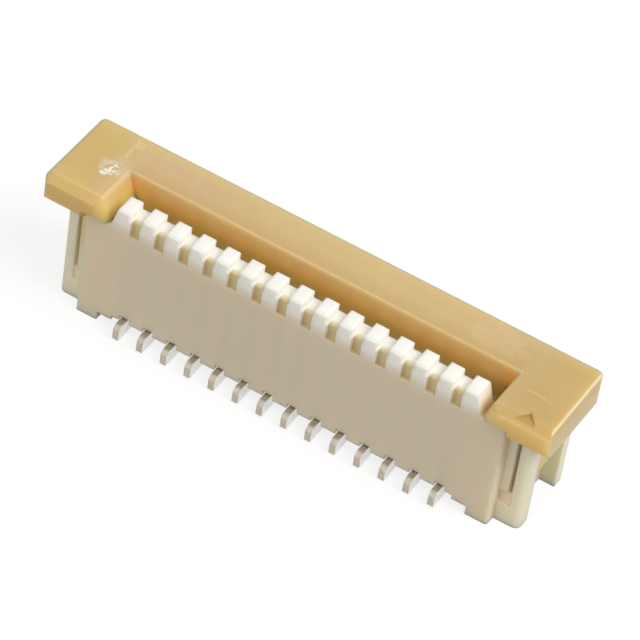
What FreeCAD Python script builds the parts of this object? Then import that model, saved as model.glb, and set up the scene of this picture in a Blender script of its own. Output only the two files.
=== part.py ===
import FreeCAD, Part
import Sketcher
import os
import re

# Flat-cable connector for a circuit board: cable enters from above, solder tails in one row at the front.
# X runs along the row of contacts, Y from the front to the back, Z up from the board.
# Each sub-part is drawn with y = 0 on the front face of the housing, then moved so that the
# origin lies on the board under the middle of the whole connector. All sizes are in millimetres.

SIZES = {
    # Row of contacts
    "contacts": 14,
    "pitch": 1.0,
    # Flat cable: its thickness, and the room at each side of it
    "cable_thickness": 0.3,
    "cable_clearance": 0.05,
    # Housing block
    "end_width": 1.0,
    "back_wall": 0.65,
    "shoulder_height": 4.75,
    "belly_height": 0.55,
    "block_corner": 0.12,
    # Feet and steps under both ends
    "foot_length": 0.88,
    "foot_step_length": 0.6,
    "foot_step_height": 0.37,
    # Toothed front wall
    "wall_depth": 0.89,
    "wall_rise": 0.94,
    "wall_end_tooth": 0.5,
    "wall_end_draft": 0.24,
    "wall_top_bevel": 0.1,
    "wall_root": 1.0,
    "tooth_gap": 0.46,
    "tooth_depth": 0.4,
    "tooth_bevel": 0.06,
    "groove_width": 0.38,
    "groove_depth": 0.4,
    "groove_height": 0.9,
    # Slot for the cable and the tongue
    "slot_floor": 1.5,
    # End posts and the channels for the slider's legs
    "post_reach": 1.0,
    "post_gap": 0.05,
    "post_root": 0.3,
    "front_post_corner": 0.28,
    "front_post_setback": 0.45,
    "front_post_depth": 0.63,
    "back_post_corner": 0.1,
    "back_post_depth": 0.57,
    "channel_wall": 0.55,
    "back_lip_reach": 0.38,
    "back_lip_depth": 0.3,
    "end_slot_inset": 0.36,
    "end_slot_width": 0.15,
    "end_slot_floor": 1.45,
    "root_pocket_height": 0.55,
    "root_pocket_depth": 0.12,
    # Contacts: one sheet blank each
    "sheet": 0.25,
    "cavity_gap": 0.03,
    "tail_reach": 0.48,
    "tail_lift": 0.08,
    "tail_height": 0.61,
    "tail_nose": 0.16,
    "tail_notch_width": 0.42,
    "tail_notch_rise": 0.22,
    "base_height": 0.42,
    "base_top": 1.25,
    "arm_front": 0.32,
    "arm_width": 0.32,
    "arm_tip_width": 0.24,
    "arm_tip_rise": 0.65,
    "bump_height": 3.55,
    "bump_stand": 0.31,
    "arm_room": 0.06,
    "arm_head_room": 0.12,
    "back_arm_setback": 0.3,
    "back_arm_width": 0.4,
    "back_arm_top": 3.2,
    "back_arm_taper": 0.12,
    # Slider's flange
    "flange_overhang": 1.7,
    "flange_thickness": 0.99,
    "flange_skirt": 0.39,
    "flange_front": 0.24,
    "flange_corner": 0.22,
    "arm_corner": 0.2,
    "top_bevel": 0.1,
    "front_bevel_rise": 0.28,
    "front_bevel_depth": 0.32,
    "bottom_bevel": 0.36,
    "seat_bevel": 0.15,
    "notch_side_room": 0.34,
    "notch_step": 0.23,
    "notch_round": 0.08,
    "seat_gap": 0.02,
    "relief_margin": 0.12,
    # How far the tongue and the legs run up into the flange
    "flange_root": 0.02,
    # Slider's tongue
    "tongue_depth": 0.69,
    "tongue_side_gap": 0.08,
    "tongue_back_gap": 0.06,
    "tongue_tip_depth": 0.3,
    "tongue_tip_gap": 0.25,
    "tongue_taper": 0.5,
    "tongue_ramp_drop": 0.57,
    "tongue_ramp_rise": 0.4,
    # Slider's legs and latches
    "leg_gap": 0.05,
    "leg_reach": 0.7,
    "leg_bottom": 1.3,
    "leg_lead_in": 0.15,
    "travel": 1.2,
    "latch_reach": 0.12,
    "latch_height": 0.4,
    "latch_width": 0.5,
    "latch_gap": 0.03,
    "latch_root": 0.05,
    # Gate dish on the plain end
    "gate_inset": 1.67,
    "gate_setback": 1.75,
    "gate_dish": 0.32,
    "gate_dish_depth": 0.08,
    # Triangle mark
    "mark_length": 0.8,
    "mark_width": 0.45,
    "mark_inset": 1.07,
    "mark_setback": 0.1,
    "mark_depth": 0.1,
    # How far a cutting outline runs past the face that it opens
    "overrun": 1.0,
}

doc = FreeCAD.newDocument("flat_cable_connector")
sheet = doc.addObject("Spreadsheet::Sheet", "Sizes")
for row, (alias, size) in enumerate(SIZES.items(), start=1):
    sheet.set(f"A{row}", alias)
    sheet.set(f"B{row}", str(size))
    sheet.setAlias(f"B{row}", alias)
doc.recompute()

# Sizes that follow from the driving ones: along the row
HALF_ROW = "(contacts - 1) / 2 * pitch"
HALF_SLOT = "((contacts + 1) / 2 * pitch + cable_clearance)"
HALF_BLOCK = "((contacts + 1) / 2 * pitch + end_width)"
HALF_FLANGE = f"({HALF_BLOCK} + flange_overhang)"
HALF_NOTCH = f"({HALF_SLOT} + notch_side_room)"
HALF_WALL = f"({HALF_ROW} + tooth_gap / 2 + wall_end_tooth)"
POST_END = f"({HALF_BLOCK} + post_reach)"
CHANNEL_FLOOR = f"({HALF_SLOT} + channel_wall)"
POST_ROOT = f"({CHANNEL_FLOOR} - post_root)"
LEG_INNER = f"({CHANNEL_FLOOR} + leg_gap)"
LEG_OUTER = f"({HALF_BLOCK} + leg_reach)"

# From the front to the back
COLUMN_BACK = "(arm_front + arm_width)"
BUMP_TIP = "(wall_depth + bump_stand)"
TONGUE_FRONT = f"({BUMP_TIP} + cable_thickness)"
NOTCH_BACK = f"({TONGUE_FRONT} + notch_step)"
TONGUE_BACK = f"({TONGUE_FRONT} + tongue_depth)"
SLOT_BACK = f"({TONGUE_BACK} + tongue_back_gap)"
BACK_ARM_FRONT = f"({SLOT_BACK} + back_arm_setback)"
BACK_ARM_BACK = f"({BACK_ARM_FRONT} + back_arm_width)"
BLOCK_DEPTH = f"({BACK_ARM_BACK} + back_wall)"
CHANNEL_FRONT = "(front_post_setback + front_post_depth)"
CHANNEL_BACK = f"({BLOCK_DEPTH} - back_post_depth)"
LEG_FRONT = f"({CHANNEL_FRONT} + leg_gap)"
LEG_BACK = f"({CHANNEL_BACK} - back_lip_depth - leg_gap)"
MIDDLE_SHIFT = f"(tail_reach - {BLOCK_DEPTH}) / 2"

# Upwards from the board
BASE_BOTTOM = "(base_top - base_height)"
ARM_TOP = "(bump_height + arm_tip_rise)"
TAIL_TOP = "(tail_lift + tail_height)"
WALL_TOP = "(shoulder_height + wall_rise)"
SLIDER_SEAT = "(shoulder_height + seat_gap)"
FLANGE_TOP = f"({SLIDER_SEAT} + flange_thickness)"
FLANGE_BOTTOM = f"({SLIDER_SEAT} - flange_skirt)"
NOTCH_SLOPE = "notch_side_room / flange_thickness"
POST_TOP = f"({FLANGE_BOTTOM} - post_gap)"
TONGUE_BOTTOM = "(slot_floor + tongue_tip_gap)"
RAMP_TOP = f"({SLIDER_SEAT} - tongue_ramp_drop)"
LATCH_TOP = "(leg_bottom + leg_lead_in + latch_height)"


def linked(text):
    """Write the sheet's name before each size named in an expression."""
    return re.sub(r"[a-z_]+", lambda word: "Sizes." + word.group(0) if word.group(0) in SIZES else word.group(0), text)


def number(text):
    """Work out an expression."""
    return float(sheet.evalExpression(linked(text)))


def new_body(label):
    body = doc.addObject("PartDesign::Body", label)
    body.Label = label
    body.setExpression("Placement.Base.y", linked(MIDDLE_SHIFT))
    return body


def origin_item(body, role):
    return next(item for item in body.Origin.OriginFeatures if item.Role == role)


def new_sketch(body, name, plane, offset):
    """Empty sketch on an origin plane moved by an offset."""
    sketch = body.newObject("Sketcher::SketchObject", name)
    sketch.AttachmentSupport = [(origin_item(body, plane), "")]
    sketch.MapMode = "FlatFace"
    sketch.setExpression("AttachmentOffset.Base.z", linked(offset))
    return sketch


def dimension(sketch, kind, places, text):
    """Add a dimension whose value is an expression."""
    item = sketch.addConstraint(Sketcher.Constraint(kind, *places, number(text)))
    sketch.setExpression(f"Constraints[{item}]", linked(text))


def ring(body, name, plane, across, up, radius, offset):
    """Circle whose centre and radius are expressions."""
    sketch = new_sketch(body, name, plane, offset)
    centre = FreeCAD.Vector(number(across), number(up), 0)
    sketch.addGeometry(Part.Circle(centre, FreeCAD.Vector(0, 0, 1), number(radius)), False)
    dimension(sketch, "DistanceX", (-1, 1, 0, 3), across)
    dimension(sketch, "DistanceY", (-1, 1, 0, 3), up)
    dimension(sketch, "Radius", (0,), radius)
    return sketch


def outline(body, name, plane, corners, offset="0"):
    """Closed outline whose corners are pairs of expressions, on an origin plane moved by an offset."""
    sketch = new_sketch(body, name, plane, offset)
    spots = [FreeCAD.Vector(number(across), number(up), 0) for across, up in corners]
    last = len(spots) - 1
    for index, spot in enumerate(spots):
        following = 0 if index == last else index + 1
        sketch.addGeometry(Part.LineSegment(spot, spots[following]), False)
    for index in range(len(spots)):
        following = 0 if index == last else index + 1
        sketch.addConstraint(Sketcher.Constraint("Coincident", index, 2, following, 1))
    for index, (across, up) in enumerate(corners):
        dimension(sketch, "DistanceX", (-1, 1, index, 1), across)
        dimension(sketch, "DistanceY", (-1, 1, index, 1), up)
    return sketch


def box_corners(left, right, low, high):
    return [(left, low), (right, low), (right, high), (left, high)]


def pad(body, name, sketch, length, midplane=False, reverse=False):
    feature = body.newObject("PartDesign::Pad", name)
    feature.Profile = sketch
    feature.setExpression("Length", linked(length))
    if midplane:
        feature.Midplane = True
    feature.Reversed = reverse
    doc.recompute()
    return feature


def pocket(body, name, sketch, length, midplane=False, reverse=False):
    """Cut an outline into the body, and stop if it took nothing away."""
    before = body.Shape.Volume
    feature = body.newObject("PartDesign::Pocket", name)
    feature.Profile = sketch
    feature.setExpression("Length", linked(length))
    if midplane:
        feature.Midplane = True
    feature.Reversed = reverse
    doc.recompute()
    if not body.Shape.Volume < before:
        raise RuntimeError(f"{name} cuts nothing")
    return feature


def mirror(body, name, features):
    """Repeat features on the other end of the row."""
    feature = body.newObject("PartDesign::Mirrored", name)
    feature.Originals = features
    feature.MirrorPlane = (origin_item(body, "YZ_Plane"), [""])
    body.Tip = feature
    doc.recompute()
    return feature


def along_row(body, name, features):
    """Repeat features once for each contact."""
    feature = body.newObject("PartDesign::LinearPattern", name)
    feature.Originals = features
    feature.Direction = (origin_item(body, "X_Axis"), [""])
    feature.setExpression("Length", linked("(contacts - 1) * pitch"))
    feature.setExpression("Occurrences", linked("contacts"))
    body.Tip = feature
    doc.recompute()
    return feature


def edges_where(body, test):
    """Names of the edges of the body's present shape whose two ends pass a test."""
    names = []
    for index, edge in enumerate(body.Tip.Shape.Edges, start=1):
        ends = [vertex.Point for vertex in edge.Vertexes]
        if len(ends) == 2 and test(ends[0], ends[1]):
            names.append(f"Edge{index}")
    if not names:
        raise RuntimeError(f"no edge found on {body.Label}")
    return names


def near(one, other):
    return abs(one - other) < 0.001


def fillet(body, name, edges, radius):
    base = body.Tip
    feature = body.newObject("PartDesign::Fillet", name)
    feature.Base = (base, edges)
    feature.setExpression("Radius", linked(radius))
    body.Tip = feature
    doc.recompute()
    return feature


def chamfer(body, name, edges, size):
    base = body.Tip
    feature = body.newObject("PartDesign::Chamfer", name)
    feature.Base = (base, edges)
    feature.setExpression("Size", linked(size))
    body.Tip = feature
    doc.recompute()
    return feature


def make_housing():
    body = new_body("housing")

    # Plain block that carries everything, with small vertical corners at the front
    block = outline(body, "block_profile", "XY_Plane",
                    box_corners(f"-{HALF_BLOCK}", HALF_BLOCK, "0", BLOCK_DEPTH), "belly_height")
    pad(body, "block", block, "shoulder_height - belly_height")

    # Feet and their steps under both ends
    feet = outline(body, "foot_profile", "XZ_Plane", [
        (HALF_BLOCK, "0"),
        (HALF_BLOCK, "belly_height + foot_step_height"),
        (f"{HALF_BLOCK} - foot_length - foot_step_length", "belly_height + foot_step_height"),
        (f"{HALF_BLOCK} - foot_length - foot_step_length", "foot_step_height"),
        (f"{HALF_BLOCK} - foot_length", "foot_step_height"),
        (f"{HALF_BLOCK} - foot_length", "0"),
    ])
    foot = pad(body, "foot", feet, BLOCK_DEPTH, reverse=True)
    mirror(body, "both_feet", [foot])
    corners = edges_where(body, lambda a, b: near(a.y, 0) and near(b.y, 0)
                          and near(abs(a.x), number(HALF_BLOCK)) and near(a.x, b.x))
    fillet(body, "block_corners", corners, "block_corner")

    # Front wall that stands above the shoulders, narrower towards the top
    wall = outline(body, "wall_profile", "XZ_Plane", [
        (f"-{HALF_WALL} - wall_end_draft", "shoulder_height - wall_root"),
        (f"{HALF_WALL} + wall_end_draft", "shoulder_height - wall_root"),
        (f"{HALF_WALL} + wall_end_draft", "shoulder_height"),
        (HALF_WALL, WALL_TOP),
        (f"-{HALF_WALL}", WALL_TOP),
        (f"-{HALF_WALL} - wall_end_draft", "shoulder_height"),
    ])
    pad(body, "wall", wall, "wall_depth", reverse=True)
    top_edges = edges_where(body, lambda a, b: near(a.z, number(WALL_TOP)) and near(b.z, a.z) and near(a.y, b.y))
    chamfer(body, "wall_top", top_edges, "wall_top_bevel")

    # Channels for the slider's legs, open at the top, the outside and the bottom
    channel = outline(body, "channel_profile", "XY_Plane",
                      box_corners(CHANNEL_FLOOR, f"{POST_END} + overrun", CHANNEL_FRONT, CHANNEL_BACK), "-overrun")
    cut = pocket(body, "channel", channel, "shoulder_height + 2 * overrun", reverse=True)
    mirror(body, "both_channels", [cut])

    # Posts: a front one set back from the face, and a back one with a lip that the leg slides along
    front_post = outline(body, "front_post_profile", "XY_Plane",
                         box_corners(POST_ROOT, POST_END,
                                     "front_post_setback", CHANNEL_FRONT))
    front = pad(body, "front_post", front_post, POST_TOP)
    back_post = outline(body, "back_post_profile", "XY_Plane", [
        (POST_ROOT, f"{CHANNEL_BACK} - back_lip_depth"),
        (f"{HALF_BLOCK} + back_lip_reach", f"{CHANNEL_BACK} - back_lip_depth"),
        (f"{HALF_BLOCK} + back_lip_reach", CHANNEL_BACK),
        (POST_END, CHANNEL_BACK),
        (POST_END, BLOCK_DEPTH),
        (POST_ROOT, BLOCK_DEPTH),
    ])
    back = pad(body, "back_post", back_post, POST_TOP)
    mirror(body, "both_posts", [front, back])
    for name, side, radius in (("front_post_corners", "front_post_setback", "front_post_corner"),
                               ("back_post_corners", BLOCK_DEPTH, "back_post_corner")):
        post_edges = edges_where(body, lambda a, b: near(abs(a.x), number(POST_END)) and near(a.x, b.x)
                                 and near(a.y, number(side)) and near(b.y, a.y))
        fillet(body, name, post_edges, radius)

    # Slot that frees the front post from the block, and the thinned web at its root
    end_slot = outline(body, "end_slot_profile", "XY_Plane",
                       box_corners(f"{HALF_BLOCK} + end_slot_inset",
                                   f"{HALF_BLOCK} + end_slot_inset + end_slot_width",
                                   "front_post_setback - overrun", f"{CHANNEL_FRONT} + overrun"), "end_slot_floor")
    slit = pocket(body, "end_slot", end_slot, POST_TOP, reverse=True)
    root = outline(body, "root_pocket_profile", "XZ_Plane",
                   box_corners(f"{HALF_BLOCK}", f"{HALF_BLOCK} + end_slot_inset + end_slot_width",
                               "end_slot_floor - root_pocket_height", "end_slot_floor"),
                   "-front_post_setback - root_pocket_depth")
    hollow = pocket(body, "root_pocket", root, "root_pocket_depth + overrun", reverse=True)
    mirror(body, "both_end_slots", [slit, hollow])

    # Recess behind the front post in which the slider's latch travels up to its stop
    recess = outline(body, "latch_recess_profile", "XY_Plane",
                     box_corners(CHANNEL_FLOOR, f"{LEG_INNER} + latch_width + latch_gap",
                                 f"{CHANNEL_FRONT} - latch_reach", f"{CHANNEL_FRONT} + overrun"), "-overrun")
    recess_cut = pocket(body, "latch_recess", recess,
                        f"overrun + {LATCH_TOP} + travel + latch_gap", reverse=True)
    mirror(body, "both_latch_recesses", [recess_cut])

    # Slot for the cable
    slot = outline(body, "cable_slot_profile", "XY_Plane",
                   box_corners(f"-{HALF_SLOT}", HALF_SLOT, "wall_depth", SLOT_BACK), "slot_floor")
    pocket(body, "cable_slot", slot, WALL_TOP, reverse=True)

    # What repeats at each contact: gap between teeth, front groove, cavity and tail notch
    first = f"-{HALF_ROW}"
    gap = outline(body, "tooth_gap_profile", "XZ_Plane",
                  box_corners(f"{first} - tooth_gap / 2", f"{first} + tooth_gap / 2",
                              f"{WALL_TOP} - tooth_depth", f"{WALL_TOP} + overrun"), "overrun")
    gap_cut = pocket(body, "tooth_gap_cut", gap, "wall_depth + 2 * overrun")
    groove = outline(body, "groove_profile", "XY_Plane",
                     box_corners(f"{first} - groove_width / 2", f"{first} + groove_width / 2", "-overrun", "groove_depth"),
                     f"{WALL_TOP} - groove_height")
    groove_cut = pocket(body, "groove", groove, "groove_height + overrun", reverse=True)
    cavity = outline(body, "cavity_profile", "YZ_Plane", [
        ("arm_front - arm_room", "0"),
        (BACK_ARM_BACK, "0"),
        (BACK_ARM_BACK, "back_arm_top + cavity_gap"),
        (f"{BACK_ARM_FRONT} - cavity_gap", "back_arm_top + cavity_gap"),
        (f"{BACK_ARM_FRONT} - cavity_gap", "base_top"),
        ("wall_depth + arm_room", "base_top"),
        ("wall_depth + arm_room", f"{ARM_TOP} + arm_head_room"),
        ("arm_front - arm_room", f"{ARM_TOP} + arm_head_room"),
    ], first)
    cavity_cut = pocket(body, "cavity", cavity, "sheet + 2 * cavity_gap", midplane=True)
    tail_notch = outline(body, "tail_notch_profile", "XZ_Plane",
                         box_corners(f"{first} - tail_notch_width / 2", f"{first} + tail_notch_width / 2",
                                     "0", "belly_height + tail_notch_rise"), "overrun")
    tail_cut = pocket(body, "tail_notch", tail_notch, "overrun + arm_front")
    along_row(body, "contact_places", [gap_cut, groove_cut, cavity_cut, tail_cut])

    # Softened edges on every tooth: down its corners, then along both sides of its top
    gap_floor = number(f"{WALL_TOP} - tooth_depth")
    upright = edges_where(body, lambda a, b: near(a.x, b.x) and near(a.y, b.y) and near(min(a.z, b.z), gap_floor)
                          and max(a.z, b.z) > gap_floor + number("tooth_bevel"))
    chamfer(body, "tooth_corners", upright, "tooth_bevel")
    wall_top = number(WALL_TOP)
    sides = edges_where(body, lambda a, b: near(a.z, wall_top) and near(b.z, wall_top) and near(a.x, b.x))
    chamfer(body, "tooth_sides", sides, "tooth_bevel")
    return body


def make_contact(number_in_row):
    body = new_body(f"contact_{number_in_row + 1:02d}")
    body.setExpression("Placement.Base.x", linked(f"({number_in_row} - (contacts - 1) / 2) * pitch"))

    # Fork with a sprung front arm, a plain back arm and a foot for soldering
    blank = outline(body, "blank", "YZ_Plane", [
        ("-tail_reach", "tail_lift"),
        (COLUMN_BACK, "tail_lift"),
        (COLUMN_BACK, BASE_BOTTOM),
        (BACK_ARM_BACK, BASE_BOTTOM),
        (BACK_ARM_BACK, "back_arm_top - back_arm_taper"),
        (f"{BACK_ARM_BACK} - back_arm_taper", "back_arm_top"),
        (BACK_ARM_FRONT, "back_arm_top"),
        (BACK_ARM_FRONT, "base_top"),
        (COLUMN_BACK, "base_top"),
        (f"{BUMP_TIP} - arm_width", "bump_height - arm_width"),
        (BUMP_TIP, "bump_height"),
        (f"{BUMP_TIP} - arm_width", ARM_TOP),
        (f"{BUMP_TIP} - arm_width - arm_tip_width", ARM_TOP),
        (f"{BUMP_TIP} - arm_width - arm_tip_width", "bump_height - arm_width"),
        ("arm_front", "base_top"),
        ("arm_front", TAIL_TOP),
        ("-tail_reach + tail_nose", TAIL_TOP),
        ("-tail_reach", f"{TAIL_TOP} - tail_nose"),
    ])
    pad(body, "stamping", blank, "sheet", midplane=True)
    round_edges = edges_where(body, lambda a, b: near(a.y, b.y) and near(a.z, b.z)
                              and ((near(a.y, number(BUMP_TIP)) and near(a.z, number("bump_height")))
                                   or (near(a.z, number(TAIL_TOP))
                                       and near(a.y, number("tail_nose - tail_reach")))))
    fillet(body, "worked_edges", round_edges, "tail_nose")
    return body


def make_slider():
    body = new_body("slider")

    # Flange: a beam behind the slot with an arm at each end
    flange = outline(body, "flange_profile", "XY_Plane",
                     box_corners(f"-{HALF_FLANGE}", HALF_FLANGE, "-flange_front", BLOCK_DEPTH), FLANGE_BOTTOM)
    pad(body, "flange", flange, f"{FLANGE_TOP} - {FLANGE_BOTTOM}")
    upright = edges_where(body, lambda a, b: near(a.x, b.x) and near(a.y, b.y)
                          and near(abs(a.x), number(HALF_FLANGE)))
    fillet(body, "flange_corners", upright, "flange_corner")

    # Notch between the arms: its sides lean in towards the ends of the slot, to guide the cable's edges
    notch_low = f"({HALF_SLOT} - flange_skirt * {NOTCH_SLOPE})"
    notch = outline(body, "notch_profile", "XZ_Plane", [
        (f"-{notch_low}", FLANGE_BOTTOM),
        (notch_low, FLANGE_BOTTOM),
        (HALF_NOTCH, FLANGE_TOP),
        (f"-{HALF_NOTCH}", FLANGE_TOP),
    ], "flange_front")
    pocket(body, "notch", notch, f"flange_front + {NOTCH_BACK}")
    inner = edges_where(body, lambda a, b: near(a.y, b.y) and near(a.y, number("-flange_front"))
                        and not near(a.z, b.z) and abs(a.x) < number(HALF_NOTCH) + 0.001)
    fillet(body, "arm_corners", inner, "arm_corner")

    # Bevels: a small one round the top, and larger ones along the top and the bottom of each arm's front
    outer_top = edges_where(body, lambda a, b: near(a.z, number(FLANGE_TOP)) and near(b.z, a.z)
                            and near(a.y, number(BLOCK_DEPTH)) and near(b.y, a.y))
    chamfer(body, "top_bevels", outer_top, "top_bevel")
    slope = outline(body, "front_bevel_profile", "YZ_Plane", [
        ("-flange_front - overrun", f"{FLANGE_TOP} - front_bevel_rise"),
        ("-flange_front", f"{FLANGE_TOP} - front_bevel_rise"),
        ("-flange_front + front_bevel_depth", FLANGE_TOP),
        ("-flange_front + front_bevel_depth", f"{FLANGE_TOP} + overrun"),
        ("-flange_front - overrun", f"{FLANGE_TOP} + overrun"),
    ])
    pocket(body, "front_bevel", slope, f"2 * {HALF_FLANGE} + overrun", midplane=True)
    underside = outline(body, "bottom_bevel_profile", "YZ_Plane", [
        ("-flange_front - overrun", f"{FLANGE_BOTTOM} - overrun"),
        ("-flange_front + bottom_bevel", f"{FLANGE_BOTTOM} - overrun"),
        ("-flange_front + bottom_bevel", FLANGE_BOTTOM),
        ("-flange_front", f"{FLANGE_BOTTOM} + bottom_bevel"),
        ("-flange_front - overrun", f"{FLANGE_BOTTOM} + bottom_bevel"),
    ])
    pocket(body, "front_underside_bevel", underside, f"2 * {HALF_FLANGE} + overrun", midplane=True)

    rim = edges_where(body, lambda a, b: near(a.z, b.z) and near(a.z, number(FLANGE_TOP))
                      and near(a.y, b.y) and near(a.y, number(NOTCH_BACK)))
    fillet(body, "notch_rim", rim, "notch_round")

    # Underside cleared over the block, so that the flange sits on its shoulders
    relief = outline(body, "relief_profile", "XY_Plane",
                     box_corners(f"-{HALF_BLOCK} - relief_margin", f"{HALF_BLOCK} + relief_margin",
                                 "-overrun", f"{BLOCK_DEPTH} + overrun"), f"{FLANGE_BOTTOM} - overrun")
    pocket(body, "relief", relief, f"overrun + {SLIDER_SEAT} - {FLANGE_BOTTOM}", reverse=True)
    seat = outline(body, "seat_bevel_profile", "YZ_Plane", [
        ("-flange_front - overrun", f"{FLANGE_BOTTOM} - overrun"),
        ("-flange_front + seat_bevel", f"{FLANGE_BOTTOM} - overrun"),
        ("-flange_front + seat_bevel", SLIDER_SEAT),
        ("-flange_front", f"{SLIDER_SEAT} + seat_bevel"),
        ("-flange_front - overrun", f"{SLIDER_SEAT} + seat_bevel"),
    ])
    pocket(body, "seat_bevel", seat, f"2 * {HALF_BLOCK} + 2 * relief_margin", midplane=True)

    # Tongue that presses the cable against the contacts, thinner towards its tip
    tongue = outline(body, "tongue_profile", "YZ_Plane", [
        (NOTCH_BACK, f"{SLIDER_SEAT} + flange_root"),
        (NOTCH_BACK, RAMP_TOP),
        (TONGUE_FRONT, f"{RAMP_TOP} - tongue_ramp_rise"),
        (TONGUE_FRONT, f"{TONGUE_BOTTOM} + tongue_taper"),
        (f"{TONGUE_BACK} - tongue_tip_depth", TONGUE_BOTTOM),
        (TONGUE_BACK, TONGUE_BOTTOM),
        (TONGUE_BACK, f"{SLIDER_SEAT} + flange_root"),
    ])
    pad(body, "tongue", tongue, f"2 * ({HALF_SLOT} - tongue_side_gap)", midplane=True)

    # Legs that slide between the posts, each with a latch that stops the slider when it is lifted
    leg = outline(body, "leg_profile", "XZ_Plane", [
        (f"{LEG_INNER} + leg_lead_in", "leg_bottom"),
        (f"{LEG_OUTER} - leg_lead_in", "leg_bottom"),
        (LEG_OUTER, "leg_bottom + leg_lead_in"),
        (LEG_OUTER, f"{SLIDER_SEAT} + flange_root"),
        (LEG_INNER, f"{SLIDER_SEAT} + flange_root"),
        (LEG_INNER, "leg_bottom + leg_lead_in"),
    ], f"-{LEG_FRONT}")
    leg_pad = pad(body, "leg", leg, f"{LEG_BACK} - {LEG_FRONT}", reverse=True)
    latch = outline(body, "latch_profile", "YZ_Plane", [
        (f"{LEG_FRONT} + latch_root", "leg_bottom + leg_lead_in"),
        (f"{LEG_FRONT} + latch_root", LATCH_TOP),
        (f"{LEG_FRONT} - latch_reach", LATCH_TOP),
    ], LEG_INNER)
    latch_pad = pad(body, "latch", latch, "latch_width")
    mirror(body, "both_legs", [leg_pad, latch_pad])

    # Shallow round dish at the gate, so that what is left of the gate stays below the top
    dish = ring(body, "gate_dish_profile", "XY_Plane", f"gate_inset - {HALF_FLANGE}", "gate_setback - flange_front",
                "gate_dish", f"{FLANGE_TOP} - gate_dish_depth")
    pocket(body, "gate_dish", dish, "gate_dish_depth + overrun", reverse=True)

    # Triangle that marks the first contact's end
    mark = outline(body, "mark_profile", "XY_Plane", [
        (f"{HALF_FLANGE} - mark_inset - mark_length / 2", "-mark_setback"),
        (f"{HALF_FLANGE} - mark_inset + mark_length / 2", "-mark_setback"),
        (f"{HALF_FLANGE} - mark_inset", "mark_width - mark_setback"),
    ], f"{FLANGE_TOP} - mark_depth")
    pocket(body, "mark", mark, "mark_depth + overrun", reverse=True)
    return body


pieces = [make_housing(), make_slider()]
pieces += [make_contact(place) for place in range(int(SIZES["contacts"]))]
doc.recompute()

for item in doc.Objects:
    if "Invalid" in item.State or "Error" in item.State:
        raise RuntimeError(f"{item.Label} failed: {item.State}")
for piece in pieces:
    if piece.Shape.isNull() or not piece.Shape.isValid():
        raise RuntimeError(f"{piece.Label} has no valid shape")

os.makedirs("parts", exist_ok=True)
for piece in pieces:
    piece.Shape.exportStep(f"parts/{piece.Label}.step")
    box = piece.Shape.BoundBox
    print(piece.Label, len(piece.Shape.Solids), round(piece.Shape.Volume, 3),
          [round(edge, 3) for edge in (box.XMin, box.XMax, box.YMin, box.YMax, box.ZMin, box.ZMax)])
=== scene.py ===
"""Finished look of a flat-cable connector: moulded housing, tan slide lock and a row of tinned contacts."""

import math

import bmesh
import bpy
from mathutils import Euler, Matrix, Vector, noise as ripple


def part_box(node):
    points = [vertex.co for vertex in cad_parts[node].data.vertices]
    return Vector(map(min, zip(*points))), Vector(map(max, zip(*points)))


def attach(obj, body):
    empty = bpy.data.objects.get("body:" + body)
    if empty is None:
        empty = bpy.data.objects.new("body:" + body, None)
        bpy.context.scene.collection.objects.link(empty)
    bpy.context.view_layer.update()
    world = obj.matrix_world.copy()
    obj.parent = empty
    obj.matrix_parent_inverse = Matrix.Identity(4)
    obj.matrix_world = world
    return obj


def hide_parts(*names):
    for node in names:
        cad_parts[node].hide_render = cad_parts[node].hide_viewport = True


bl_info = {
    "name": "Flat Cable Connector",
    "version": (1, 0, 0),
    "blender": (4, 5, 0),
    "location": "View3D > Sidebar > Connector",
    "description": "Finishes the housing, the slide lock and the contacts of a board connector",
    "category": "Object",
}

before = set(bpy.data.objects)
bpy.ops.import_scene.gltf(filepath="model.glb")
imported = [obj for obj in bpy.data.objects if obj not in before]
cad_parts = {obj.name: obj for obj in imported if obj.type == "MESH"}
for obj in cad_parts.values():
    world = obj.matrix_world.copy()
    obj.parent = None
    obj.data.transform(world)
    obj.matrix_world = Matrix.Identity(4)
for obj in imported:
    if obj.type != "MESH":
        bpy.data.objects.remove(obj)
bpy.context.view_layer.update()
MM = 0.001
FRONT_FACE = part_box("housing")[0][1] / MM
LOCK_END, LOCK_BACK, LOCK_TOP = [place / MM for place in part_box("slider")[1]]
CONTACTS = sorted(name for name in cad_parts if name.startswith("contact_"))


# Sizes and colours that a user would change


class HousingSettings(bpy.types.PropertyGroup):
    cream: bpy.props.FloatVectorProperty(
        name="Cream", description="Colour of the moulded teeth", subtype="COLOR", default=(0.93, 0.91, 0.85))
    # The body colour is partly the thick body's own and partly painted shade below the teeth
    body: bpy.props.FloatVectorProperty(
        name="Body", description="Warmer colour of the thick body below the teeth", subtype="COLOR",
        default=(0.82, 0.69, 0.51))
    # The ends' colour is painted light that comes through the thin posts and webs
    ends: bpy.props.FloatVectorProperty(
        name="Ends", description="Colour of the thin posts and webs at both ends", subtype="COLOR",
        default=(0.93, 0.84, 0.62))
    shade: bpy.props.FloatVectorProperty(
        name="Shade", description="Colour of the sheltered places", subtype="COLOR",
        default=(0.84, 0.72, 0.42))
    edge_radius: bpy.props.FloatProperty(
        name="Edge radius", description="Softness of the moulded edges", subtype="DISTANCE", unit="LENGTH",
        default=0.09 * MM)
    grain: bpy.props.FloatProperty(
        name="Grain", description="Height of the moulded grain", subtype="DISTANCE", unit="LENGTH",
        default=0.004 * MM)


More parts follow.
